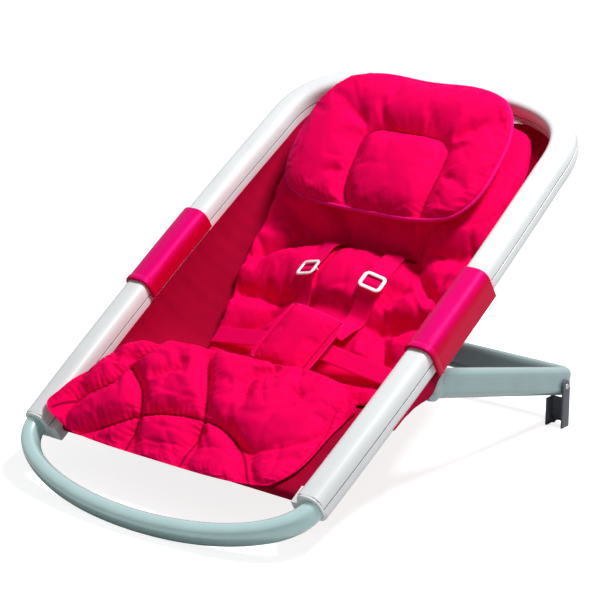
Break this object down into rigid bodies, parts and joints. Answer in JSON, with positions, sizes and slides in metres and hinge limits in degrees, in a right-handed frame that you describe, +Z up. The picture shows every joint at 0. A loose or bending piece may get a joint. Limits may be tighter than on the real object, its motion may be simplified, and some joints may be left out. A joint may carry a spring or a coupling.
{
  "type": "baby bouncer",
  "caption": "Low baby bouncer: padded fabric seat in a white oval frame, with a front bow, a fold-out rear leg, feet, and a buckled harness.",
  "frame": {"origin": "middle of the footprint box, on the floor that the bow and the two feet stand on", "axes": "+Z up, +Y from the bow towards the head end, +X to the baby's left"},
  "size_m": [0.4492, 0.637, 0.4011],
  "materials": {
    "frame_white": "satin white moulded plastic",
    "bow_metal": "satin grey-green lacquer on steel tube",
    "leg_metal": "satin blue-grey lacquer on steel tube",
    "foot_grey": "grey moulded plastic",
    "cover_red": "shiny red coated sleeve",
    "sling_red": "plain dark red woven cloth",
    "cushion_red": "crimson padded and stitched cloth",
    "strap_red": "crimson woven webbing",
    "slider_white": "white moulded plastic",
    "steel": "plain steel",
    "buckle_grey": "grey moulded plastic",
    "button_red": "red moulded plastic"
  },
  "bodies": {
    "frame": {"frame_upper_shell": "frame_white", "frame_lower_shell": "frame_white", "front_bow": "bow_metal", "front_crossbar": "steel", "end_cap_left": "frame_white", "end_cap_right": "frame_white", "bow_screw_left": "steel", "bow_screw_right": "steel", "hinge_cover_left": "cover_red", "hinge_cover_right": "cover_red", "hinge_skirt_left": "sling_red", "hinge_skirt_right": "sling_red", "hinge_bracket_left": "foot_grey", "hinge_bracket_right": "foot_grey", "bracket_screw_left": "steel", "bracket_screw_right": "steel", "hinge_pin_left": "steel", "hinge_pin_right": "steel", "seat_sling": "sling_red", "back_pad": "cushion_red", "leg_pad": "cushion_red", "head_pillow": "cushion_red", "shoulder_strap_left": "strap_red", "shoulder_strap_right": "strap_red", "crotch_pad": "cushion_red", "crotch_strap": "strap_red", "buckle_body": "buckle_grey", "waist_strap_left": "strap_red", "waist_strap_right": "strap_red"},
    "leg": {"support_leg": "leg_metal", "leg_hub_left": "foot_grey", "leg_hub_right": "foot_grey", "foot_rivet_left": "steel", "foot_rivet_right": "steel"},
    "foot_left": {"foot_left": "foot_grey"},
    "foot_right": {"foot_right": "foot_grey"},
    "slider_left": {"strap_slider_left": "slider_white"},
    "slider_right": {"strap_slider_right": "slider_white"},
    "button": {"buckle_button": "button_red"}
  },
  "joints": [
    {"name": "leg_fold", "type": "hinge", "parent": "frame", "child": "leg", "pos_m": [0, -0.03717, 0.13036], "axis": [1, 0, 0], "range_deg": [-132, 0]},
    {"name": "foot_swing_left", "type": "hinge", "parent": "leg", "child": "foot_left", "pos_m": [0.2111, 0.24286, 0.05307], "axis": [1, 0, 0], "range_deg": [-70, 0]},
    {"name": "foot_swing_right", "type": "hinge", "parent": "leg", "child": "foot_right", "pos_m": [-0.2111, 0.24286, 0.05307], "axis": [1, 0, 0], "range_deg": [-70, 0]},
    {"name": "slider_move_left", "type": "slide", "parent": "frame", "child": "slider_left", "axis": [0, 0.8967, 0.4427], "range_m": [0, 0.04]},
    {"name": "slider_move_right", "type": "slide", "parent": "frame", "child": "slider_right", "axis": [0, 0.8967, 0.4427], "range_m": [0, 0.04]},
    {"name": "buckle_press", "type": "slide", "parent": "frame", "child": "button", "axis": [0, -0.5999, 0.8001], "range_m": [0, 0.003], "stiffness_N_per_m": 400, "springref_m": -0.001}
  ]
}
